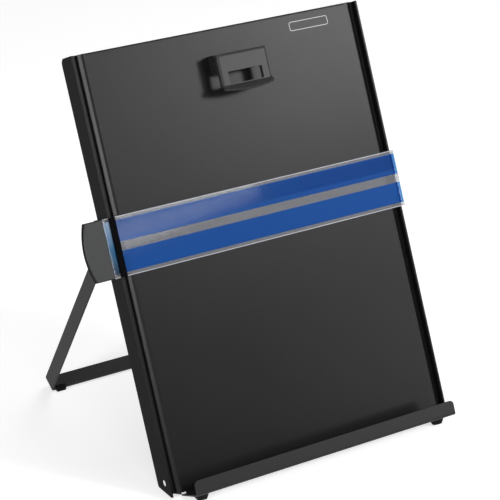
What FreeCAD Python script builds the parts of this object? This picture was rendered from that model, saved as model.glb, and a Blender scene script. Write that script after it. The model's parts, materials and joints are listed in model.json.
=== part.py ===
import FreeCAD, Part
import math
import os

# Copy holder with a sliding line guide, millimetres.
# The board pieces are drawn in the board's own frame: x to the right, y towards the back,
# z up the board, with the face of the board at y zero. The board then leans back.

# Driving dimensions of the panel
board_width = 240.0
board_top = 296.3
board_bottom = -18.2
lean_deg = 24.25
sheet = 0.9
flange_depth = 16.8
shoulder_margin = 8.5
shoulder_run = 4.0
track_depth = 4.0
bend_radius = 1.2
shoulder_radius = 2.4
top_return_depth = 9.0
top_return_inset = 3.0
flange_corner_radius = 4.5
flange_toe_radius = 2.0
flange_hole_radius = 2.5
flange_hole_back = 7.0
flange_hole_up = 10.3

# Driving dimensions of the ledge and the front feet
ledge_width = 222.9
ledge_depth = 22.0
ledge_sheet = 1.0
ledge_rise = 0.2
lip_height = 11.1
lip_corner_radius = 3.0
ledge_bend_radius = 1.2
ledge_leg_height = 15.0
ledge_leg_inset = 4.0
ledge_rivet_radius = 1.6
ledge_rivet_up = 6.0
ledge_rivet_count = 3
rivet_head_share = 1.8
rivet_head_height = 0.8
rivet_crown_share = 1.2
foot_radius = 5.5
foot_inset = 9.45
foot_forward = 10.2
foot_wall = 1.2
foot_taper = 3.6
foot_tip_share = 0.62
foot_stand = 5.446
foot_stem_radius = 1.8

# Driving dimensions of the kickstand
strip_width = 11.7
strip_sheet = 1.6
strip_gap = 1.85
strip_bend_radius = 1.6
leg_length = 194.697
hinge_up = 170.8
strip_back_gap = 0.45
open_deg = 56.6
stud_radius = 2.5
stud_head_radius = 4.8
stud_head = 1.2
washer_radius = 5.0
spring_washer_sheet = 0.5
pad_length = 7.0
pad_radius = 2.6
pad_flat = 1.78
pad_setback = 0.3
pad_inset = 1.5
leg_tip_radius = 2.0

# Driving dimensions of the line guide
guide_height = 42.0
guide_up = 160.8
lens_sheet = 1.6
lens_standoff = 1.6
lens_side_gap = 0.3
lens_bend_radius = 1.0
lens_hook = 3.0
hook_gap = 0.4
bead_width = 4.6
bead_height = 2.8
tint_sheet = 0.15
tint_upper_top = 2.5
tint_lower_rise = 2.7
tint_window = 6.2
tint_end_gap = 1.2
web_gap = 0.2
jaw_sheet = 1.4
jaw_gap = 0.2
jaw_floor_gap = 0.5
slider_wall = 1.95
slider_wall_gap = 0.25
slider_lip = 1.4
tab_width = 13.7
tab_bulge = 3.9
tab_sheet = 4.0
tab_bevel = 0.7
bar_sheet = 1.2
bar_edge_radius = 0.4
peg_radius = 0.7
peg_depth = 2.2
peg_up = 14.0
guide_spring_length = 24.0
guide_spring_width = 8.0
guide_spring_sheet = 0.3
guide_spring_pocket = 1.1
guide_spring_back = 9.0

# Driving dimensions of the clip
clip_side = 5.05
clip_drop = 32.2
clip_base_inset = 1.2
clip_base_height = 13.0
clip_wall = 1.6
clip_back = 1.4
clip_top = 1.3
clip_corner_radius = 1.2
pin_radius = 1.25
pin_up = 6.6
pin_out = 6.5
lever_width = 41.4
lever_sheet = 3.5
lever_out = 10.7
lever_bottom_drop = 10.3
lever_top_rise = 12.3
lever_open_deg = 28.0
lever_edge_radius = 1.8
lug_sheet = 1.6
lug_gap = 0.3
lug_radius = 3.4
window_width = 28.4
window_height = 8.9
window_rise = 0.6
window_radius = 1.0
lip_flare_deg = 42.0
lip_flare = 3.0
lip_sheet = 1.9
lip_bow = 3.2
lip_root = 2.0
jaw_width = 24.0
jaw_wall = 2.2
grip_pad = 1.4
grip_gap = 0.2
grip_lap = 0.4
leaf_sheet = 0.5
leaf_width = 14.0
leaf_gap = 0.3
leaf_rise = 4.4
clip_rivet_radius = 1.3
clip_rivet_side = 10.0
clip_rivet_up = 2.6

# Named clearances
running = 0.05
flat_gap = 0.1
seat_gap = 0.05
notch_gap = 0.2
pocket_gap = 0.2
overrun = 5.0
near = 0.01

lean = math.radians(lean_deg)
half_board = board_width / 2
half_ledge = ledge_width / 2
half_strip = strip_width / 2
half_guide = guide_height / 2
wall_inside = half_board - sheet
track_outside = half_board - 2 * sheet
shoulder_start = half_board - shoulder_margin
shoulder_end = shoulder_start + shoulder_run
track_back = track_depth + sheet
hinge_back = track_back + strip_back_gap + half_strip
leg_outside = wall_inside - strip_gap
leg_inside = leg_outside - strip_sheet
ledge_top = board_bottom + ledge_rise
ledge_under = ledge_top - ledge_sheet
ledge_front = -(ledge_depth + ledge_sheet)
foot_side = half_ledge - foot_inset
ground_at_face = ledge_under - foot_stand + foot_forward * math.tan(lean)
ground_drop = -ground_at_face * math.cos(lean)
lens_back = -lens_standoff
lens_front = lens_back - lens_sheet
guide_low = guide_up - half_guide
guide_high = guide_up + half_guide
tint_band = (guide_height - tint_upper_top - tint_window - tint_lower_rise) / 2
jaw_outside = track_outside - jaw_gap
jaw_inside = jaw_outside - jaw_sheet
wall_face = half_board + slider_wall_gap
wall_outside = wall_face + slider_wall
bar_outside = wall_face + (slider_wall + slider_wall_gap) / 2
bead_inside = bar_outside + flat_gap
bead_outside = bead_inside + bead_width
tab_inside = bead_outside + flat_gap
tab_outside = tab_inside + tab_width + tab_bulge
lens_outside = half_board + lens_side_gap + lens_sheet
hook_back = flange_depth + hook_gap
clip_up = board_top - clip_drop
clip_base_width = lever_width - 2 * clip_base_inset
pin_y = -pin_out
pin_z = clip_up + pin_up
lever_back = -lever_out
lever_front = lever_back - lever_sheet
lever_bottom = clip_up - lever_bottom_drop
lever_top = clip_up + lever_top_rise


def point(x, y, z):
    return FreeCAD.Vector(x, y, z)


def in_space(plane, level, a, b):
    if plane == "yz":
        return point(level, a, b)
    if plane == "xz":
        return point(a, level, b)
    return point(a, b, level)


def outline(path, plane, level):
    """The face inside a closed path of points and (middle, end) arcs in a plane."""
    edges = []
    here = path[0]
    for step in path[1:] + [path[0]]:
        start = in_space(plane, level, *here)
        if isinstance(step[0], tuple):
            middle = in_space(plane, level, *step[0])
            here = step[1]
            edges.append(Part.Arc(start, middle, in_space(plane, level, *here)).toShape())
        elif step != here:
            here = step
            edges.append(Part.LineSegment(start, in_space(plane, level, *here)).toShape())
    return Part.Face(Part.Wire(edges))


def extruded(path, plane, low, high):
    along = in_space(plane, high, 0, 0) - in_space(plane, low, 0, 0)
    return outline(path, plane, low).extrude(along)


def block(x_low, x_high, y_low, y_high, z_low, z_high):
    corner = point(x_low, y_low, z_low)
    return Part.makeBox(x_high - x_low, y_high - y_low, z_high - z_low, corner)


def rod(radius, start, along, length):
    return Part.makeCylinder(radius, length, start, along)


def rounded(shape, radius, wanted):
    edges = [edge for edge in shape.Edges if wanted(edge)]
    return shape.makeFillet(radius, edges)


def bevelled(shape, size, wanted):
    edges = [edge for edge in shape.Edges if wanted(edge)]
    return shape.makeChamfer(size, edges)


def lies_along(edge, axis):
    box = edge.BoundBox
    spans = {"x": box.XLength, "y": box.YLength, "z": box.ZLength}
    rest = sum(spans[name] for name in spans if name != axis)
    return spans[axis] > near and rest < near


def at_xy(edge, x, y):
    middle = edge.BoundBox.Center
    return abs(abs(middle.x) - x) < near and abs(middle.y - y) < near


def at_yz(edge, y, z):
    middle = edge.BoundBox.Center
    return abs(middle.y - y) < near and abs(middle.z - z) < near


def on_arc(centre, radius, turn_deg):
    turn = math.radians(turn_deg)
    return (centre[0] + radius * math.cos(turn), centre[1] + radius * math.sin(turn))


def mirrored(shape):
    return shape.mirror(point(0, 0, 0), point(1, 0, 0))


def track_turn():
    """How far the back of the sheet's shoulder is shifted from its front at each bend."""
    slope = math.atan2(track_depth, shoulder_run)
    return sheet * math.tan(slope / 2)


def half_section():
    turn = track_turn()
    return [
        (0, 0),
        (shoulder_start, 0),
        (shoulder_end, track_depth),
        (track_outside, track_depth),
        (track_outside, 0),
        (half_board, 0),
        (half_board, flange_depth),
        (wall_inside, flange_depth),
        (wall_inside, track_back),
        (shoulder_end - turn, track_back),
        (shoulder_start - turn, sheet),
        (0, sheet),
    ]


def panel_bends():
    turn = track_turn()
    return [
        (shoulder_start, 0, shoulder_radius),
        (shoulder_start - turn, sheet, shoulder_radius - sheet),
        (shoulder_end, track_depth, bend_radius),
        (shoulder_end - turn, track_back, bend_radius + sheet),
        (track_outside, 0, sheet / 2),
        (half_board, 0, sheet),
    ]


def top_return():
    half = shoulder_start - top_return_inset
    low = board_top - sheet
    return block(-half, half, 0, top_return_depth, low, board_top)


def ground_cut(y_low, y_high, z_at_face):
    """Everything below a plane parallel to the ground that meets the face of the board."""
    rise = math.tan(lean)
    path = [
        (y_low, z_at_face + y_low * rise),
        (y_high, z_at_face + y_high * rise),
        (y_high, z_at_face - board_width),
        (y_low, z_at_face - board_width),
    ]
    return extruded(path, "yz", -board_width, board_width)


def ledge_rivet_places():
    """The middles of as many equal lengths of the ledge as it has rivets."""
    step = ledge_width / ledge_rivet_count
    first = -half_ledge + step / 2
    return [first + step * index for index in range(ledge_rivet_count)]


def clip_rivet_places():
    return [clip_side - clip_rivet_side, clip_side + clip_rivet_side]


def back_panel():
    half = extruded(half_section(), "xy", board_bottom, board_top)
    panel = half.fuse(mirrored(half)).removeSplitter()
    panel = panel.fuse(top_return()).removeSplitter()
    for x, y, radius in panel_bends():
        panel = rounded(panel, radius, lambda edge: lies_along(edge, "z") and at_xy(edge, x, y))
    panel = panel.cut(top_bend())
    panel = panel.cut(ground_cut(-overrun, flange_depth + overrun, board_bottom))
    notch = half_ledge + notch_gap
    edge_up = ledge_top + ledge_bend_radius + seat_gap
    panel = panel.cut(block(-notch, notch, -overrun, track_back, board_bottom - overrun, edge_up))
    panel = rounded(panel, flange_corner_radius, lambda edge: at_flange_end(edge, board_top))
    toe = board_bottom + flange_depth * math.tan(lean)
    panel = rounded(panel, flange_toe_radius, lambda edge: at_flange_end(edge, toe))
    return panel.cut(panel_holes())


def top_bend():
    """The round of the bend over the top return."""
    half = shoulder_start - top_return_inset
    low = board_top - bend_radius
    off = bend_radius * (1 - math.sqrt(0.5))
    path = [
        (-overrun, low),
        (0, low),
        ((off, board_top - off), (bend_radius, board_top)),
        (bend_radius, board_top + overrun),
        (-overrun, board_top + overrun),
    ]
    return extruded(path, "yz", -half, half)


def at_flange_end(edge, z):
    return lies_along(edge, "x") and at_yz(edge, flange_depth, z)


def panel_holes():
    holes = []
    through = point(0, 1, 0)
    height = board_bottom + flange_hole_up
    for side in (-1, 1):
        start = point(side * (wall_inside - near), flange_hole_back, height)
        holes.append(rod(flange_hole_radius, start, point(side, 0, 0), overrun))
    for x in ledge_rivet_places():
        start = point(x, -near, board_bottom + ledge_rivet_up)
        holes.append(rod(ledge_rivet_radius, start, through, overrun))
    for x in clip_rivet_places():
        start = point(x, -near, clip_up + clip_rivet_up)
        holes.append(rod(clip_rivet_radius, start, through, overrun))
    return Part.Compound(holes)


def document_ledge():
    outer = ledge_bend_radius + ledge_sheet
    lip_top = ledge_under + lip_height
    leg_back = sheet + ledge_sheet
    leg_top = ledge_under + ledge_leg_height
    path = [
        (sheet, leg_top),
        (sheet, ledge_top),
        (-ledge_depth, ledge_top),
        (-ledge_depth, lip_top),
        (ledge_front, lip_top),
        (ledge_front, ledge_under),
        (leg_back, ledge_under),
        (leg_back, leg_top),
    ]
    ledge = extruded(path, "yz", -half_ledge, half_ledge)
    for y, z, radius in (
        (ledge_front, ledge_under, outer),
        (leg_back, ledge_under, outer),
        (-ledge_depth, ledge_top, ledge_bend_radius),
        (sheet, ledge_top, ledge_bend_radius),
    ):
        ledge = rounded(ledge, radius, lambda edge: lies_along(edge, "x") and at_yz(edge, y, z))
    for side in (-1, 1):
        inner = side * (half_ledge - ledge_leg_inset)
        outer_end = side * (half_ledge + overrun)
        low, high = sorted((inner, outer_end))
        bend_front = sheet - ledge_bend_radius
        ledge = ledge.cut(block(low, high, bend_front, leg_back + overrun, ledge_top, leg_top + overrun))
    ledge = rounded(ledge, lip_corner_radius, lambda edge: lip_corner(edge, lip_top))
    through = point(0, 1, 0)
    for x in ledge_rivet_places():
        start = point(x, 0, board_bottom + ledge_rivet_up)
        ledge = ledge.cut(rod(ledge_rivet_radius, start, through, overrun))
    for side in (-1, 1):
        start = point(side * foot_side, -foot_forward, ledge_under - near)
        ledge = ledge.cut(rod(foot_stem_radius, start, point(0, 0, 1), overrun))
    return ledge


def lip_corner(edge, lip_top):
    middle = edge.BoundBox.Center
    at_end = abs(abs(middle.x) - half_ledge) < near
    return lies_along(edge, "y") and at_end and abs(middle.z - lip_top) < near


def flush_rivet(x, z, radius, front, back):
    """A rivet along y, flush in front so that nothing catches on it, with a low bevelled head behind."""
    crown = back + rivet_head_height
    profile = [
        (0, front),
        (radius, front),
        (radius, back),
        (radius * rivet_head_share, back),
        (radius * rivet_crown_share, crown),
        (0, crown),
    ]
    return revolved(profile, x, z)


def revolved(profile, x, z):
    """Turn a (radius, y) profile about a line along y at (x, z)."""
    half = outline(profile, "xy", 0)
    solid = half.revolve(point(0, 0, 0), point(0, 1, 0), 360)
    solid.translate(point(x, 0, z))
    return solid


def ledge_rivets():
    height = board_bottom + ledge_rivet_up
    back = sheet + ledge_sheet
    places = ledge_rivet_places()
    return Part.Compound([flush_rivet(x, height, ledge_rivet_radius, 0, back) for x in places])


def clip_rivets():
    height = clip_up + clip_rivet_up
    places = clip_rivet_places()
    return Part.Compound([flush_rivet(x, height, clip_rivet_radius, -clip_back, sheet) for x in places])


def front_foot(side):
    """A tapered rubber bumper whose stem plugs into the ledge, worn flat where it stands."""
    wall_low = ledge_under - foot_wall
    tip_low = wall_low - foot_taper
    profile = [
        (0, ledge_top),
        (foot_stem_radius, ledge_top),
        (foot_stem_radius, ledge_under),
        (foot_radius, ledge_under),
        (foot_radius, wall_low),
        (foot_radius * foot_tip_share, tip_low),
        (0, tip_low),
    ]
    foot = outline(profile, "xz", 0).revolve(point(0, 0, 0), point(0, 0, 1), 360)
    foot.translate(point(side * foot_side, -foot_forward, 0))
    return foot.cut(ground_cut(-ledge_depth, ledge_depth, ground_at_face))


def leg_side_path():
    """Side view of a leg about its pivot: the round end turns clear of the track, the flat stops on it."""
    reach = hinge_back - track_back - flat_gap
    front = -half_strip
    start_deg = 180 - math.degrees(math.acos(half_strip / reach))
    stop_deg = 180 - open_deg
    stop = on_arc((0, 0), reach, stop_deg)
    middle = on_arc((0, 0), reach, (start_deg + stop_deg) / 2)
    turn = math.radians(open_deg)
    run = (half_strip - stop[0]) / math.sin(turn)
    tip = (half_strip, stop[1] + run * math.cos(turn))
    low = -(leg_length + strip_sheet)
    path = [
        (front, low),
        on_arc((0, 0), reach, start_deg),
        (middle, stop),
        tip,
        (half_strip, low),
    ]
    return [shifted(step) for step in path]


def shifted(step):
    if isinstance(step[0], tuple):
        return (shifted(step[0]), shifted(step[1]))
    return (step[0] + hinge_back, step[1] + hinge_up)


def stand_frame():
    """One flat strip bent twice, drawn folded and then swung open."""
    bottom = hinge_up - leg_length - strip_sheet / 2
    top = hinge_up + strip_width + overrun
    outer_radius = strip_bend_radius + strip_sheet
    y_low = hinge_back - half_strip
    y_high = hinge_back + half_strip
    outer = block(-leg_outside, leg_outside, y_low, y_high, bottom, top)
    outer = rounded(outer, outer_radius, lambda edge: strip_corner(edge, leg_outside, bottom))
    inside_bottom = bottom + strip_sheet
    y_front = y_low - overrun
    y_rear = y_high + overrun
    inner = block(-leg_inside, leg_inside, y_front, y_rear, inside_bottom, top + overrun)
    inner = rounded(inner, strip_bend_radius, lambda edge: strip_corner(edge, leg_inside, inside_bottom))
    strip = outer.cut(inner)
    strip = strip.common(extruded(leg_side_path(), "yz", -half_board, half_board))
    start = point(-half_board, hinge_back, hinge_up)
    strip = strip.cut(rod(stud_radius + running, start, point(1, 0, 0), board_width))
    strip = rounded(strip, leg_tip_radius, leg_tip)
    return opened(strip)


def leg_tip(edge):
    middle = edge.BoundBox.Center
    high = middle.z > hinge_up + half_strip
    return lies_along(edge, "x") and high and middle.y > hinge_back + half_strip - near


def strip_corner(edge, x, z):
    middle = edge.BoundBox.Center
    return lies_along(edge, "y") and abs(abs(middle.x) - x) < near and abs(middle.z - z) < near


def opened(shape):
    swung = shape.copy()
    swung.rotate(point(0, hinge_back, hinge_up), point(1, 0, 0), open_deg)
    return swung


def stand_foot(side):
    """A rubber pad moulded over the front edge of the crossbar, flat where it stands."""
    y = hinge_back - half_strip + pad_setback
    z = hinge_up - leg_length
    middle = opened(Part.Vertex(0, y, z)).BoundBox.Center
    outer_end = leg_inside - strip_bend_radius - pad_inset
    start = point(outer_end - pad_length, y, z)
    pad = rod(pad_radius, start, point(1, 0, 0), pad_length)
    half = strip_sheet / 2
    y_low = hinge_back - half_strip
    y_high = hinge_back + half_strip
    pad = pad.cut(block(-leg_outside, leg_outside, y_low, y_high, z - half, z + half))
    pad = opened(pad)
    flat_at_face = middle.z - middle.y * math.tan(lean) - pad_flat / math.cos(lean)
    pad = pad.cut(ground_cut(-ledge_depth, board_top, flat_at_face))
    return pad if side > 0 else mirrored(pad)


def pivot_stud(side):
    """A headed stud welded to the inside of the flange, through the leg and both washers."""
    head_outside = leg_inside - seat_gap - spring_washer_sheet - seat_gap
    head_inside = head_outside - stud_head
    axis = point(1, 0, 0)
    shank = rod(stud_radius, point(head_outside, hinge_back, hinge_up), axis, wall_inside - head_outside)
    head = rod(stud_head_radius, point(head_inside, hinge_back, hinge_up), axis, stud_head)
    stud = shank.fuse(head).removeSplitter()
    return stud if side > 0 else mirrored(stud)


def ring(radius, low, high, side):
    axis = point(1, 0, 0)
    start = point(low, hinge_back, hinge_up)
    disc = rod(radius, start, axis, high - low)
    disc = disc.cut(rod(stud_radius + running, start, axis, high - low))
    return disc if side > 0 else mirrored(disc)


def spacer_washer(side):
    return ring(washer_radius, leg_outside + seat_gap, wall_inside - seat_gap, side)


def spring_washer(side):
    high = leg_inside - seat_gap
    return ring(stud_head_radius, high - spring_washer_sheet, high, side)


def guide_lens():
    """A clear strip with a rolled bead at the slider end, turned back and hooked behind the right flange."""
    outer = lens_bend_radius + lens_sheet
    hook_inside = lens_outside - lens_hook
    wall_inner = lens_outside - lens_sheet
    hook_far = hook_back + lens_sheet
    path = [
        (-bead_inside, lens_back),
        (wall_inner, lens_back),
        (wall_inner, hook_back),
        (hook_inside, hook_back),
        (hook_inside, hook_far),
        (lens_outside, hook_far),
        (lens_outside, lens_front),
        (-bead_inside, lens_front),
    ]
    lens = extruded(path, "xy", guide_low, guide_high)
    for x, y, radius in (
        (lens_outside, lens_front, outer),
        (wall_inner, lens_back, lens_bend_radius),
        (lens_outside, hook_far, lens_bend_radius),
    ):
        lens = rounded(lens, radius, lambda edge: lies_along(edge, "z") and at_xy(edge, x, y))
    lens = lens.fuse(lens_bead()).removeSplitter()
    for up in (-peg_up, peg_up):
        start = point(-peg_side(), lens_front - near, guide_up + up)
        lens = lens.cut(rod(peg_radius + running, start, point(0, 1, 0), overrun))
    return lens


def lens_bead():
    crown = lens_back - bead_height
    middle = -(bead_inside + bead_width / 2)
    path = [
        (-bead_inside, lens_back),
        (-bead_inside, lens_front),
        ((middle, crown), (-bead_outside, lens_front)),
        (-bead_outside, lens_back),
    ]
    return extruded(path, "xy", guide_low, guide_high)


def peg_side():
    return wall_face + slider_wall / 2


def guide_tint(low):
    """A translucent band on the back of the lens."""
    left = -(jaw_inside - tint_end_gap)
    right = half_board - tint_end_gap
    return block(left, right, lens_back, lens_back + tint_sheet, low, low + tint_band)


def tint_upper_low():
    return guide_high - tint_upper_top - tint_band


def tint_lower_low():
    return tint_upper_low() - tint_window - tint_band


def guide_slider():
    """Thumb tab, web over the rail, jaw in the track and a wall that hooks behind the flange."""
    web_back = -web_gap
    path = [
        (-tab_inside, lens_back),
        (-jaw_inside, lens_back),
        (-jaw_inside, track_depth - jaw_floor_gap),
        (-jaw_outside, track_depth - jaw_floor_gap),
        (-jaw_outside, web_back),
        (-wall_face, web_back),
        (-wall_face, hook_back),
        (-(half_board - sheet - flat_gap), hook_back),
        (-(half_board - sheet - flat_gap), hook_back + slider_lip),
        (-wall_outside, hook_back + slider_lip),
        (-wall_outside, tab_back()),
        (-tab_inside, tab_back()),
    ]
    body = extruded(path, "xy", guide_low, guide_high)
    body = body.cut(spring_pocket())
    for up in (-peg_up, peg_up):
        start = point(-peg_side(), lens_back - near, guide_up + up)
        body = body.cut(rod(peg_radius + running, start, point(0, 1, 0), peg_depth + running))
    return body.fuse(thumb_tab()).removeSplitter()


def tab_back():
    return lens_front + tab_sheet


def thumb_tab():
    corner = -(tab_inside + tab_width)
    path = [
        (-tab_inside, guide_low),
        (-tab_inside, guide_high),
        (corner, guide_high),
        ((-tab_outside, guide_up), (corner, guide_low)),
    ]
    tab = extruded(path, "xz", lens_front, tab_back())
    return bevelled(tab, tab_bevel, tab_front)


def tab_front(edge):
    box = edge.BoundBox
    outside = box.Center.x < -(tab_inside + near)
    return box.YLength < near and abs(box.Center.y - lens_front) < near and outside


def spring_pocket():
    inner = -(wall_face - near)
    outer = -(wall_face + guide_spring_pocket)
    half = guide_spring_length / 2 + pocket_gap
    width = guide_spring_width / 2 + pocket_gap
    low = guide_spring_back - width
    high = guide_spring_back + width
    return block(outer, inner, low, high, guide_up - half, guide_up + half)


def guide_spring():
    """A bowed leaf whose ends sit in the slider's pocket and whose crown bears on the flange."""
    seat = -(wall_face + guide_spring_pocket - seat_gap)
    crown = -(half_board + flat_gap)
    half = guide_spring_length / 2
    low = guide_up - half
    high = guide_up + half
    path = [
        (seat, low),
        ((crown - guide_spring_sheet, guide_up), (seat, high)),
        (seat + guide_spring_sheet, high),
        ((crown, guide_up), (seat + guide_spring_sheet, low)),
    ]
    near_side = guide_spring_back - guide_spring_width / 2
    return extruded(path, "xz", near_side, near_side + guide_spring_width)


def guide_clamp_bar():
    """The black band that holds the lens down on the slider with two pegs."""
    front = lens_front - bar_sheet
    bar = block(-bar_outside, -jaw_inside, front, lens_front, guide_low, guide_high)
    bar = rounded(bar, bar_edge_radius, lambda edge: bar_front(edge, front))
    pegs = []
    for up in (-peg_up, peg_up):
        start = point(-peg_side(), lens_front, guide_up + up)
        pegs.append(rod(peg_radius, start, point(0, 1, 0), lens_sheet + peg_depth))
    return bar.fuse(pegs).removeSplitter()


def bar_front(edge, front):
    return lies_along(edge, "z") and abs(edge.BoundBox.Center.y - front) < near


def clip_x(x):
    return clip_side + x


def along_pin(radius, length):
    """A round of the clip's hinge axis, centred on the clip."""
    start = point(clip_x(-length / 2), pin_y, pin_z)
    return rod(radius, start, point(1, 0, 0), length)


def cheek_path():
    """Side view of the housing: the front top turns clear of the lever and stops it when it is open."""
    reach = lever_out - pin_out - flat_gap
    top = clip_up + clip_base_height
    front = pin_y - reach
    open_turn = math.radians(lever_open_deg)
    stop = on_arc((pin_y, pin_z), reach, 180 - lever_open_deg)
    middle = on_arc((pin_y, pin_z), reach, 180 - lever_open_deg / 2)
    run = (top - stop[1]) / math.cos(open_turn)
    return [
        (0, clip_up),
        (front, clip_up),
        (front, pin_z),
        (middle, stop),
        (stop[0] + run * math.sin(open_turn), top),
        (0, top),
    ]


def clip_base():
    half = clip_base_width / 2
    outer = extruded(cheek_path(), "yz", clip_x(-half), clip_x(half))
    inner_half = half - clip_wall
    top = clip_up + clip_base_height - clip_top
    low = clip_up - overrun
    cavity = block(clip_x(-inner_half), clip_x(inner_half), -lever_out, -clip_back, low, top)
    base = outer.cut(cavity)
    base = rounded(base, clip_corner_radius, cheek_corner)
    base = base.cut(along_pin(pin_radius, clip_base_width + overrun))
    for x in clip_rivet_places():
        start = point(x, -(clip_back + near), clip_up + clip_rivet_up)
        base = base.cut(rod(clip_rivet_radius, start, point(0, 1, 0), overrun))
    return base


def cheek_corner(edge):
    reach = lever_out - pin_out - flat_gap
    return lies_along(edge, "x") and at_yz(edge, pin_y - reach, clip_up)


def clip_lever():
    lever = lever_plate().fuse([lever_lip(), lever_jaw(), lever_lug(-1), lever_lug(1)])
    lever = lever.removeSplitter().cut(lever_window())
    return lever.cut(along_pin(pin_radius + running, lever_width))


def lever_window():
    low = lever_bottom + window_rise
    half = window_width / 2
    front = lever_front - overrun
    window = block(clip_x(-half), clip_x(half), front, lever_back + near, low, low + window_height)
    return rounded(window, window_radius, lambda edge: lies_along(edge, "y"))


def lever_plate():
    half = lever_width / 2
    plate = block(clip_x(-half), clip_x(half), lever_front, lever_back, lever_bottom, lever_top)
    return rounded(plate, lever_edge_radius, front_rim)


def front_rim(edge):
    box = edge.BoundBox
    on_front = box.YLength < near and abs(box.Center.y - lever_front) < near
    return on_front and box.Center.z > lever_bottom + near


def lever_lip():
    """The thumb lip, drawn flat with a bowed rim and turned outwards under the plate."""
    half = lever_width / 2
    path = [
        (-half, lip_root),
        (-half, -lip_flare),
        ((0, -(lip_flare + lip_bow)), (half, -lip_flare)),
        (half, lip_root),
    ]
    lip = extruded(path, "xy", -lip_sheet, 0)
    lip.rotate(point(0, 0, 0), point(1, 0, 0), lip_flare_deg)
    lip.translate(point(clip_side, lever_front, lever_bottom))
    return lip


def lever_jaw():
    """The wall behind the lip that carries the grip pad down to the sheets."""
    half = jaw_width / 2
    tip = -(grip_pad + grip_gap)
    low = lever_bottom - jaw_wall
    return block(clip_x(-half), clip_x(half), lever_back - near, tip, low, lever_bottom)


def lever_lug(side):
    half = clip_base_width / 2 - clip_wall - lug_gap
    ends = sorted((side * half, side * (half - lug_sheet)))
    path = [
        (lever_back, pin_z - lug_radius),
        (pin_y, pin_z - lug_radius),
        ((pin_y + lug_radius, pin_z), (pin_y, pin_z + lug_radius)),
        (lever_back, pin_z + lug_radius),
    ]
    return extruded(path, "yz", clip_x(ends[0]), clip_x(ends[1]))


def clip_grip():
    half = jaw_width / 2
    low = lever_bottom - jaw_wall - grip_lap
    high = lever_bottom + grip_lap
    front = -(grip_pad + grip_gap)
    pad = block(clip_x(-half), clip_x(half), front, -grip_gap, low, high)
    return rounded(pad, grip_lap, grip_rim)


def grip_rim(edge):
    return lies_along(edge, "x") and abs(edge.BoundBox.Center.y + grip_gap) < near


def clip_pin():
    return along_pin(pin_radius, clip_base_width)


def clip_spring():
    """A U-shaped leaf round the pin: one arm on the housing, the other behind the top of the lever."""
    rear = -(clip_back + seat_gap)
    front = lever_back + seat_gap
    radius = (rear - front) / 2
    centre = ((rear + front) / 2, clip_up + radius + leaf_gap)
    inner = radius - leaf_sheet
    top = pin_z + leaf_rise
    path = [
        (rear, top),
        (rear, centre[1]),
        ((centre[0], centre[1] - radius), (front, centre[1])),
        (front, top),
        (front + leaf_sheet, top),
        (front + leaf_sheet, centre[1]),
        ((centre[0], centre[1] - inner), (rear - leaf_sheet, centre[1])),
        (rear - leaf_sheet, top),
    ]
    half = leaf_width / 2
    return extruded(path, "yz", clip_x(-half), clip_x(half))


def nodes():
    made = {
        "back_panel": back_panel(),
        "document_ledge": document_ledge(),
        "ledge_rivets": ledge_rivets(),
        "clip_base": clip_base(),
        "clip_rivets": clip_rivets(),
        "clip_pin": clip_pin(),
        "clip_spring": clip_spring(),
        "clip_lever": clip_lever(),
        "clip_grip_pad": clip_grip(),
        "guide_lens": guide_lens(),
        "guide_tint_upper": guide_tint(tint_upper_low()),
        "guide_tint_lower": guide_tint(tint_lower_low()),
        "guide_slider": guide_slider(),
        "guide_clamp_bar": guide_clamp_bar(),
        "guide_spring": guide_spring(),
        "stand_frame": stand_frame(),
    }
    for side, name in ((-1, "left"), (1, "right")):
        made["front_foot_" + name] = front_foot(side)
        made["pivot_stud_" + name] = pivot_stud(side)
        made["spacer_washer_" + name] = spacer_washer(side)
        made["spring_washer_" + name] = spring_washer(side)
        made["stand_foot_" + name] = stand_foot(side)
    return made


def to_world(y, z):
    """Where a point of the board's frame stands once the board leans back."""
    back = y * math.cos(lean) + z * math.sin(lean)
    up = z * math.cos(lean) - y * math.sin(lean) + ground_drop
    return (back, up)


def standing_shift():
    """The middle of the footprint, from the outermost sizes of the leaning, opened object."""
    outer = ledge_bend_radius + ledge_sheet
    front = to_world(ledge_front + outer, ledge_under + outer)[0] - outer
    turn = math.radians(open_deg)
    along = leg_length + strip_sheet / 2
    rear_y = hinge_back + along * math.sin(turn) + half_strip * math.cos(turn)
    rear_z = hinge_up - along * math.cos(turn) + half_strip * math.sin(turn)
    rear = to_world(rear_y, rear_z)[0]
    middle_x = (lens_outside - tab_outside) / 2
    return point(-middle_x, -(front + rear) / 2, ground_drop)


def main():
    os.makedirs("parts", exist_ok=True)
    shift = standing_shift()
    for name, shape in nodes().items():
        placed = shape.copy()
        placed.rotate(point(0, 0, 0), point(1, 0, 0), -lean_deg)
        placed.translate(shift)
        placed.exportStep("parts/" + name + ".step")
        solids = len(placed.Solids)
        print(name, "solids", solids, "valid", placed.isValid(), "volume", round(placed.Volume, 1))


main()
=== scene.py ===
import json
import math

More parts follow.
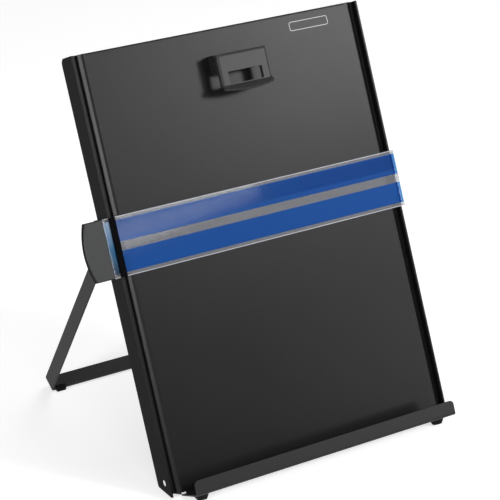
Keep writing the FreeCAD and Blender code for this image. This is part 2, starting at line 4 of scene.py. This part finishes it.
import bmesh
import bpy
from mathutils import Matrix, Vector


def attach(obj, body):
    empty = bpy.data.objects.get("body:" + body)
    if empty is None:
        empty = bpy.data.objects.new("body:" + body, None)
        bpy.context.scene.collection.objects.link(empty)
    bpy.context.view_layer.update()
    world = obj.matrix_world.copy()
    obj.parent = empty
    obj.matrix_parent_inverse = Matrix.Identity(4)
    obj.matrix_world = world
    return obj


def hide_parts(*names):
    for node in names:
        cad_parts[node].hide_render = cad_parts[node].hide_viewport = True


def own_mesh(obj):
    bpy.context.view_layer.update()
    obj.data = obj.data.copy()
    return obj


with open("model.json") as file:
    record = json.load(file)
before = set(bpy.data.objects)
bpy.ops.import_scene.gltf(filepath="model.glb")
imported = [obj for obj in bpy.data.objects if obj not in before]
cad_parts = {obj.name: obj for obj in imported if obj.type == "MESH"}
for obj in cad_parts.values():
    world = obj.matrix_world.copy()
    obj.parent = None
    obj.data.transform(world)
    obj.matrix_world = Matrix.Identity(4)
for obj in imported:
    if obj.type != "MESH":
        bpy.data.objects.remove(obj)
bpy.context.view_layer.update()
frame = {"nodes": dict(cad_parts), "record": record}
nodes = frame["nodes"]

# The board's own frame, in millimetres: x to the right, y behind the face, z up the board.
LEAN = math.radians(24.25)
SHIFT = (10.925, -80.924, 18.0996)
RIGHT = Vector((1.0, 0.0, 0.0))
UP = Vector((0.0, math.sin(LEAN), math.cos(LEAN)))
OUT = Vector((0.0, -math.cos(LEAN), math.sin(LEAN)))


def place(x, y, z):
    """A point of the board's frame, as a point of the row frame in metres."""
    back = y * math.cos(LEAN) + z * math.sin(LEAN) + SHIFT[1]
    high = z * math.cos(LEAN) - y * math.sin(LEAN) + SHIFT[2]
    return Vector(((x + SHIFT[0]) / 1000, back / 1000, high / 1000))


def up_board(z):
    """How far up the board a height on it lies from the row frame's origin."""
    return place(0, 0, z).dot(UP)


def across_board(x):
    """How far to the right a place on the board lies from the row frame's origin."""
    return place(x, 0, 0).x


# ---------------------------------------------------------------- material nodes


class Nodes:
    """A material's node tree, with short calls to add and join nodes."""

    def __init__(self, name):
        self.material = bpy.data.materials.new(name)
        self.material.use_nodes = True
        self.tree = self.material.node_tree
        self.tree.nodes.clear()
        self.output = self.tree.nodes.new("ShaderNodeOutputMaterial")

    def add(self, kind, **settings):
        node = self.tree.nodes.new(kind)
        for key, value in settings.items():
            setattr(node, key, value)
        return node

    def join(self, source, target):
        self.tree.links.new(source, target)

    def value(self, operation, a, b=None, clamp=False):
        """A sum on sockets or plain numbers."""
        node = self.add("ShaderNodeMath", operation=operation, use_clamp=clamp)
        for socket, item in zip(node.inputs, (a, b)):
            if item is None:
                continue
            if isinstance(item, (int, float)):
                socket.default_value = item
            else:
                self.join(item, socket)
        return node.outputs[0]

    def dot(self, source, direction):
        node = self.add("ShaderNodeVectorMath", operation="DOT_PRODUCT")
        self.join(source, node.inputs[0])
        node.inputs[1].default_value = direction
        return node.outputs["Value"]

    def coordinates(self):
        return self.add("ShaderNodeTexCoord").outputs["Object"]

    def along(self, direction):
        """Distance along a direction through the row frame's origin."""
        return self.dot(self.coordinates(), direction)

    def between(self, source, low, high):
        above = self.value("GREATER_THAN", source, low)
        return self.value("MULTIPLY", above, self.value("LESS_THAN", source, high))

    def noise(self, scale, detail, rough=0.5, stretch=None):
        node = self.add("ShaderNodeTexNoise")
        node.inputs["Scale"].default_value = scale
        node.inputs["Detail"].default_value = detail
        node.inputs["Roughness"].default_value = rough
        source = self.coordinates()
        if stretch is not None:
            mapping = self.add("ShaderNodeMapping")
            mapping.inputs["Scale"].default_value = stretch
            self.join(source, mapping.inputs["Vector"])
            source = mapping.outputs["Vector"]
        self.join(source, node.inputs["Vector"])
        return node.outputs["Fac"]

    def ramp(self, source, low, high, from_low=0.0, from_high=1.0):
        """A value carried from one range into another, and held at its ends."""
        node = self.add("ShaderNodeMapRange")
        self.join(source, node.inputs["Value"])
        node.inputs["From Min"].default_value = from_low
        node.inputs["From Max"].default_value = from_high
        node.inputs["To Min"].default_value = low
        node.inputs["To Max"].default_value = high
        return node.outputs["Result"]

    def blend_colour(self, factor, a, b):
        node = self.add("ShaderNodeMix", data_type="RGBA")
        self.join(factor, node.inputs[0])
        for socket, item in ((node.inputs[6], a), (node.inputs[7], b)):
            if isinstance(item, tuple):
                socket.default_value = (*item, 1.0)
            else:
                self.join(item, socket)
        return node.outputs[2]

    def bump(self, height, strength, distance):
        node = self.add("ShaderNodeBump")
        node.inputs["Strength"].default_value = strength
        node.inputs["Distance"].default_value = distance
        self.join(height, node.inputs["Height"])
        return node.outputs["Normal"]

    def mixed(self, share, first, second):
        """Two shaders, by the second one's share as a socket or a plain number."""
        node = self.add("ShaderNodeMixShader")
        if isinstance(share, float):
            node.inputs[0].default_value = share
        else:
            self.join(share, node.inputs[0])
        self.join(first, node.inputs[1])
        self.join(second, node.inputs[2])
        return node.outputs[0]

    def surface(self, shader):
        self.join(shader, self.output.inputs["Surface"])
        return self.material


def srgb(r, g, b):
    """A colour as it is read from a screen, 0 to 255, as the renderer's linear one."""
    made = []
    for c in (r, g, b):
        c = c / 255
        made.append(c / 12.92 if c <= 0.04045 else ((c + 0.055) / 1.055) ** 2.4)
    return tuple(made)


def scaled(colour, share):
    return tuple(c * share for c in colour)


# ---------------------------------------------------------------- coated and bare finishes

# Coated finishes: the slow cloud in the tone and how far it goes, the depth of the fine grain in metres,
# and the specular level of the flatter coat that paints shade on turned faces.
CLOUD_SCALE = 14.0
TONE_LOW, TONE_HIGH = 0.88, 1.12
GRAIN_DEPTH = 0.0002
FLANK_SHADE_SPECULAR = 0.02

# Drawn lines in steel: how fine and how dark they are, what they do to the gloss, and their depth in metres.
LINE_SCALE = 260.0
LINE_TONE = 0.8
LINE_SPREAD = 0.1
LINE_STRENGTH, LINE_DEPTH = 0.15, 0.0001


def coat_texture(n, rough, grain, spread, strength):
    """What every coated finish has: a slow cloud, a gloss that wanders with it, and a fine grain."""
    cloud = n.noise(CLOUD_SCALE, 3.0)
    fine = n.noise(grain, 2.0, 0.6)
    slow = n.ramp(cloud, -spread / 2, spread / 2)
    quick = n.ramp(fine, rough - spread, rough + spread)
    return cloud, n.value("ADD", slow, quick), n.bump(fine, strength, GRAIN_DEPTH)


def coat_shader(n, colour, specular, texture):
    cloud, gloss, grain = texture
    p = n.add("ShaderNodeBsdfPrincipled")
    tone = n.blend_colour(cloud, scaled(colour, TONE_LOW), scaled(colour, TONE_HIGH))
    n.join(tone, p.inputs["Base Color"])
    n.join(gloss, p.inputs["Roughness"])
    n.join(grain, p.inputs["Normal"])
    p.inputs["Specular IOR Level"].default_value = specular
    return p.outputs[0]


def coated(name, colour, rough, grain, spread, strength, specular):
    """Paint, moulded plastic or rubber: a base colour that wanders a little, with a fine grain."""
    n = Nodes(name)
    return n.surface(coat_shader(n, colour, specular, coat_texture(n, rough, grain, spread, strength)))


def flank_shaded(name, colour, rough, grain, spread, strength, specular, shade_colour, direction, start, full):
    """A coated finish that goes over to a flatter coat of its own colour where a face turns, as painted
    shade.

    A face's turn is how much of its normal lies along the direction, either way, from 0 to 1. The flatter
    coat starts at one turn and is full at another. Where the second is the smaller one, the flatter coat
    goes to the faces that turn away from the direction.
    """
    n = Nodes(name)
    texture = coat_texture(n, rough, grain, spread, strength)
    normal = n.add("ShaderNodeNewGeometry").outputs["Normal"]
    turned = n.ramp(n.value("ABSOLUTE", n.dot(normal, direction)), 0.0, 1.0, start, full)
    plain = coat_shader(n, colour, specular, texture)
    # The flatter coat on turned faces is painted shade.
    shaded_coat = coat_shader(n, shade_colour, FLANK_SHADE_SPECULAR, texture)
    return n.surface(n.mixed(turned, plain, shaded_coat))


def brushed(name, colour, rough, stretch):
    """Bare or plated steel with drawn lines."""
    n = Nodes(name)
    p = n.add("ShaderNodeBsdfPrincipled")
    lines = n.noise(LINE_SCALE, 4.0, 0.6, stretch)
    n.join(n.blend_colour(lines, scaled(colour, LINE_TONE), colour), p.inputs["Base Color"])
    n.join(n.ramp(lines, rough - LINE_SPREAD, rough + LINE_SPREAD), p.inputs["Roughness"])
    n.join(n.bump(lines, LINE_STRENGTH, LINE_DEPTH), p.inputs["Normal"])
    p.inputs["Metallic"].default_value = 1.0
    return n.surface(p.outputs[0])


# ---------------------------------------------------------------- the guide's clear and blue plastic

# The guide in the board's frame, in millimetres: its bottom and top edge and the rim along them, its two
# blue bands, the left and right end of the films, the end of the rolled bead and the height where the bead's
# painted shade turns to a painted glare, and the edge of the right rail.
GUIDE = (139.8, 181.8)
RIM = 0.5
BANDS = ((142.5, 157.8), (164.0, 179.3))
FILM = (-116.4, 118.8)
BEAD_END = -121.3
BEAD_GLARE_TURN = 160.0
RAIL_EDGE = 120.4

# Blue plastic, and how much of its body shows in the films, past their ends and in the bead.
NAVY = (0.007, 0.145, 0.50)
NAVY_TONE = 0.9
DYE = (0.01, 0.45, 0.95)
BODY_GLOSS = (0.3, 0.4)
BODY_SPECULAR = 0.1
FILM_BODY, PAST_BODY, BEAD_BODY = 0.5, 0.6, 0.75
# The bead's colours from foot to head: painted shade, then lighter, then a pale painted glare.
BEAD_SHADE_AND_GLARE = ((0.0, 0.02, 0.045), (0.012, 0.10, 0.22), (0.22, 0.31, 0.44))

# Clear sheet, the milkiness on it where it is bare and along its rims, and the gloss over all of it.
CLEAR = (0.94, 0.96, 0.98)
MILK = ((0.70, 0.70, 0.76), (0.78, 0.78, 0.84))
MILK_GLOSS = (0.2, 0.3)
MILK_BARE, MILK_RIM = 0.09, 0.3
ACRYLIC_IOR = 1.49
GLOSS = (0.04, 0.07)
GLOSS_SHARE = 0.45


def see_through(n, colour):
    shader = n.add("ShaderNodeBsdfTransparent")
    shader.inputs["Color"].default_value = (*colour, 1.0)
    return shader.outputs[0]


def dyed(n, body_share, colour=None):
    """Blue plastic: a body of colour over a clear dye."""
    if colour is None:
        colour = n.blend_colour(n.noise(9.0, 2.0), scaled(NAVY, NAVY_TONE), NAVY)
    body = n.add("ShaderNodeBsdfPrincipled")
    n.join(colour, body.inputs["Base Color"])
    n.join(n.ramp(n.noise(60.0, 3.0), *BODY_GLOSS), body.inputs["Roughness"])
    body.inputs["Specular IOR Level"].default_value = BODY_SPECULAR
    return n.mixed(body_share, see_through(n, DYE), body.outputs[0])


def bead_painted_glare(n, up):
    """The rolled bead's colour, from painted shade at its foot to a painted glare at its head."""
    foot, turn, head = up_board(BANDS[0][0]), up_board(BEAD_GLARE_TURN), up_board(BANDS[1][1])
    lower = n.blend_colour(n.ramp(up, 0.0, 1.0, foot, turn), BEAD_SHADE_AND_GLARE[0], BEAD_SHADE_AND_GLARE[1])
    return n.blend_colour(n.ramp(up, 0.0, 1.0, turn, head), lower, BEAD_SHADE_AND_GLARE[2])


def lens_material(name):
    """Clear sheet, a little milky where no film backs it, with the bands carried on past the films' ends."""
    n = Nodes(name)
    up = n.along(UP)
    side = n.along(RIGHT)
    bands = [n.between(up, up_board(low), up_board(high)) for low, high in BANDS]
    bare = n.value("SUBTRACT", 1.0, n.value("ADD", *bands))
    inner = n.between(up, up_board(GUIDE[0] + RIM), up_board(GUIDE[1] - RIM))
    rim = n.value("SUBTRACT", 1.0, inner)
    milk_share = n.value("ADD", n.ramp(bare, 0.0, MILK_BARE), n.ramp(rim, 0.0, MILK_RIM))
    smear = n.noise(30.0, 3.0)
    milk = n.add("ShaderNodeBsdfPrincipled")
    n.join(n.blend_colour(smear, *MILK), milk.inputs["Base Color"])
    n.join(n.ramp(smear, *MILK_GLOSS), milk.inputs["Roughness"])
    sheet = n.mixed(milk_share, see_through(n, CLEAR), milk.outputs[0])

    left = n.value("LESS_THAN", side, across_board(FILM[0]))
    right = n.between(side, across_board(FILM[1]), across_board(RAIL_EDGE))
    past = n.value("MULTIPLY", n.value("ADD", left, right), n.value("SUBTRACT", 1.0, bare))
    sheet = n.mixed(past, sheet, dyed(n, PAST_BODY))

    rolled = n.value("LESS_THAN", side, across_board(BEAD_END))
    whole = n.between(up, up_board(BANDS[0][0]), up_board(BANDS[1][1]))
    bead = n.value("MULTIPLY", rolled, whole)
    # The rolled bead: blue with painted shade at its foot and a painted glare at its head.
    sheet = n.mixed(bead, sheet, dyed(n, BEAD_BODY, bead_painted_glare(n, up)))

    gloss = n.add("ShaderNodeBsdfGlossy")
    n.join(n.ramp(smear, *GLOSS), gloss.inputs["Roughness"])
    fresnel = n.add("ShaderNodeFresnel")
    fresnel.inputs["IOR"].default_value = ACRYLIC_IOR
    gloss_share = n.value("MULTIPLY", fresnel.outputs[0], GLOSS_SHARE, True)
    return n.surface(n.mixed(gloss_share, sheet, gloss.outputs[0]))


def tint_material(name):
    """The blue film behind the lens."""
    n = Nodes(name)
    return n.surface(dyed(n, FILM_BODY))


# ---------------------------------------------------------------- the slots' materials

FINISHES = (
    # slot, colour, roughness, scale of the grain, spread of the gloss, strength of the grain, specular level
    (coated, "ledge_paint", srgb(27, 27, 28), 0.42, 2600.0, 0.04, 0.10, 0.21),
    (coated, "stand_paint", srgb(28, 28, 29), 0.48, 2600.0, 0.04, 0.10, 0.22),
    (coated, "foot_rubber", srgb(11, 11, 11), 0.75, 3200.0, 0.05, 0.25, 0.15),
    (coated, "grip_rubber", srgb(24, 24, 24), 0.8, 3200.0, 0.05, 0.25, 0.3),
    (coated, "bar_plastic", srgb(3, 3, 5), 0.45, 900.0, 0.02, 0.02, 0.02),
    (coated, "clip_base_plastic", srgb(24, 24, 25), 0.45, 3000.0, 0.05, 0.12, 0.5),
    # the same, then the turned faces' painted-shade colour, the direction, and where the flatter,
    # painted-shade coat starts and is full
    # board_paint: a darker, flatter coat on the flanges, painted shade.
    (flank_shaded, "board_paint", srgb(20, 20, 21), 0.30, 2600.0, 0.04, 0.10, 0.13,
     srgb(18, 18, 19), RIGHT, 0.8, 0.97),
    # slider_plastic: a near-black, flatter coat on the side walls, painted shade.
    (flank_shaded, "slider_plastic", srgb(42, 43, 43), 0.42, 3000.0, 0.05, 0.12, 0.25,
     srgb(6, 6, 7), OUT, 0.75, 0.35),
    # clip_plastic: a flatter, less glossy coat on the side faces, painted shade.
    (flank_shaded, "clip_plastic", srgb(38, 38, 39), 0.40, 3000.0, 0.05, 0.12, 0.25,
     srgb(42, 42, 43), OUT, 0.8, 0.4),
    # slot, colour, roughness, how the drawn lines are squeezed along x, y and z
    (brushed, "rivet_steel", srgb(150, 150, 152), 0.35, (1.0, 6.0, 1.0)),
    (brushed, "pivot_steel", srgb(140, 141, 145), 0.35, (1.0, 6.0, 6.0)),
    (brushed, "spring_steel", srgb(165, 166, 170), 0.28, (8.0, 1.0, 1.0)),
    (lens_material, "lens_clear"),
    (tint_material, "tint_blue"),
)
materials = {name: make(name, *settings) for make, name, *settings in FINISHES}
for part in frame["record"]["subparts"]:
    made = nodes[part["node"]]
    made.data.materials.clear()
    made.data.materials.append(materials[part["material_slot"]])


# ---------------------------------------------------------------- pieces of the scene

# The printed outline, in the board's frame in millimetres: left, right, bottom and top, the radius of its
# corners, the width of the line and the thickness of the ink.
LABEL = (57.5, 91.0, 283.3, 290.0)
LABEL_RADIUS = 1.7
LABEL_LINE = 0.42
INK = 0.06
CORNER_STEPS = 8


def add_object(name, data):
    made = bpy.data.objects.new(name, data)
    bpy.context.scene.collection.objects.link(made)
    return made


def mesh_piece(name, bm, material, body):
    mesh = bpy.data.meshes.new(name)
    bm.normal_update()
    bm.to_mesh(mesh)
    bm.free()
    made = add_object(name, mesh)
    mesh.materials.append(material)
    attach(made, body)


def label_outline(inset):
    """The label's rounded rectangle, drawn in by a distance, as points on the board."""
    x_low, x_high = LABEL[0] + inset, LABEL[1] - inset
    z_low, z_high = LABEL[2] + inset, LABEL[3] - inset
    radius = LABEL_RADIUS - inset
    points = []
    for cx, cz, start in (
        (x_high - radius, z_high - radius, 0),
        (x_low + radius, z_high - radius, 90),
        (x_low + radius, z_low + radius, 180),
        (x_high - radius, z_low + radius, 270),
    ):
        for k in range(CORNER_STEPS + 1):
            turn = math.radians(start + 90 * k / CORNER_STEPS)
            points.append((cx + radius * math.cos(turn), cz + radius * math.sin(turn)))
    return points


def label_frame():
    """The thin printed outline at the top right of the board, with nothing in it."""
    outer, inner = label_outline(0.0), label_outline(LABEL_LINE)
    bm = bmesh.new()
    rings = []
    for outline, y in ((outer, 0.0), (outer, -INK), (inner, -INK), (inner, 0.0)):
        rings.append([bm.verts.new(place(x, y, z)) for x, z in outline])
    count = len(outer)
    for a in range(len(rings)):
        first, second = rings[a], rings[(a + 1) % len(rings)]
        for k in range(count):
            j = (k + 1) % count
            bm.faces.new((first[k], first[j], second[j], second[k]))
    bmesh.ops.recalc_face_normals(bm, faces=bm.faces)
    ink = coated("label_ink", srgb(196, 197, 199), 0.5, 1800.0, 0.03, 0.05, 0.4)
    mesh_piece("label_frame", bm, ink, "holder")


def spring_leaf():
    """The clip's leaf spring, as a piece of its own on the holder in place of the imported one."""
    mesh = nodes["clip_spring"].data.copy()
    mesh.name = "clip_leaf"
    leaf = add_object("clip_leaf", mesh)
    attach(leaf, "holder")
    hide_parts("clip_spring")
    points = [Vector(v.co) for v in mesh.vertices]
    middle = sum(points, Vector()) / len(points)
    seat = middle + OUT * (min(point.dot(OUT) for point in points) - middle.dot(OUT))
    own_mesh(leaf)


label_frame()
spring_leaf()


# ---------------------------------------------------------------- floor, light and camera

FLOOR_HALF = 8.0
FLOOR_PALE = 0.68
FLOOR_GLOW = 0.6
SKY = 0.18
AIM = Vector((0.0, 0.0, 0.14))
LAMPS = (
    # name, degrees right of the viewer's side, degrees up, metres away, metres wide and tall, watts
    ("key", 40, 26.8, 2.2, 0.40, 0.38, 18.0),
    ("low", 44, 9, 2.2, 0.8, 0.4, 6.5),
    ("glare", 23, 28.2, 2.2, 0.65, 0.62, 5.5),
    ("side", -67, 14, 2.0, 0.26, 0.6, 20.0),
    ("front", -24, 20, 2.2, 1.4, 0.7, 11.0),
    ("top", 92, 64, 2.4, 1.0, 1.0, 14.0),
)

# The photograph's camera: the sensor's width and the lens in millimetres, its place in metres, its angles.
SENSOR_WIDTH = 36.0
FOCAL_LENGTH = 152.025
CAMERA_AT = (-0.743075, -1.193285, 0.75877)
CAMERA_YAW = math.radians(32.30)
CAMERA_PITCH = math.radians(24.05)


def heading(right, up):
    """A direction by its angle to the right of +Y and its angle above the floor."""
    return Vector((math.sin(right) * math.cos(up), math.cos(right) * math.cos(up), math.sin(up)))


def look_along(made, direction):
    made.rotation_mode = "QUATERNION"
    made.rotation_quaternion = direction.to_track_quat("-Z", "Y")


def stage_floor():
    """A pale floor that glows to the eye and in reflections, and keeps the object's shadow."""
    bm = bmesh.new()
    corners = ((-1, -1), (1, -1), (1, 1), (-1, 1))
    bm.faces.new([bm.verts.new((x * FLOOR_HALF, y * FLOOR_HALF, 0.0)) for x, y in corners])
    mesh = bpy.data.meshes.new("floor")
    bm.to_mesh(mesh)
    bm.free()
    floor = add_object("floor", mesh)
    n = Nodes("floor_pale")
    plain = n.add("ShaderNodeBsdfDiffuse")
    plain.inputs["Color"].default_value = (FLOOR_PALE, FLOOR_PALE, FLOOR_PALE, 1.0)
    glow = n.add("ShaderNodeEmission")
    path = n.add("ShaderNodeLightPath")
    seen = n.value("ADD", path.outputs["Is Camera Ray"], path.outputs["Is Glossy Ray"])
    seen = n.value("ADD", seen, path.outputs["Is Transmission Ray"], True)
    n.join(n.value("MULTIPLY", seen, FLOOR_GLOW), glow.inputs["Strength"])
    both = n.add("ShaderNodeAddShader")
    n.join(plain.outputs[0], both.inputs[0])
    n.join(glow.outputs[0], both.inputs[1])
    mesh.materials.append(n.surface(both.outputs[0]))


def world_light():
    """A dim even studio round the lamps."""
    world = bpy.data.worlds.new("studio")
    bpy.context.scene.world = world
    world.use_nodes = True
    sky = world.node_tree.nodes["Background"]
    sky.inputs["Color"].default_value = (1.0, 1.0, 1.0, 1.0)
    sky.inputs["Strength"].default_value = SKY


def softbox(name, right_deg, up_deg, distance, wide, tall, watts):
    """An area lamp, seen from the object at an angle to the right of -Y and above the floor."""
    light = bpy.data.lights.new(name, "AREA")
    light.shape = "RECTANGLE"
    light.size = wide
    light.size_y = tall
    light.energy = watts
    made = add_object(name, light)
    away = heading(math.pi - math.radians(right_deg), math.radians(up_deg))
    made.location = AIM + away * distance
    look_along(made, -away)
    made.visible_camera = False


def photo_camera():
    data = bpy.data.cameras.new("camera")
    data.sensor_width = SENSOR_WIDTH
    data.lens = FOCAL_LENGTH
    data.clip_start = 0.01
    data.clip_end = 50.0
    camera = add_object("camera", data)
    camera.location = CAMERA_AT
    look_along(camera, heading(CAMERA_YAW, -CAMERA_PITCH))
    bpy.context.scene.camera = camera


stage_floor()
world_light()
for lamp in LAMPS:
    softbox(*lamp)
photo_camera()
bpy.context.scene.view_settings.view_transform = "Standard"
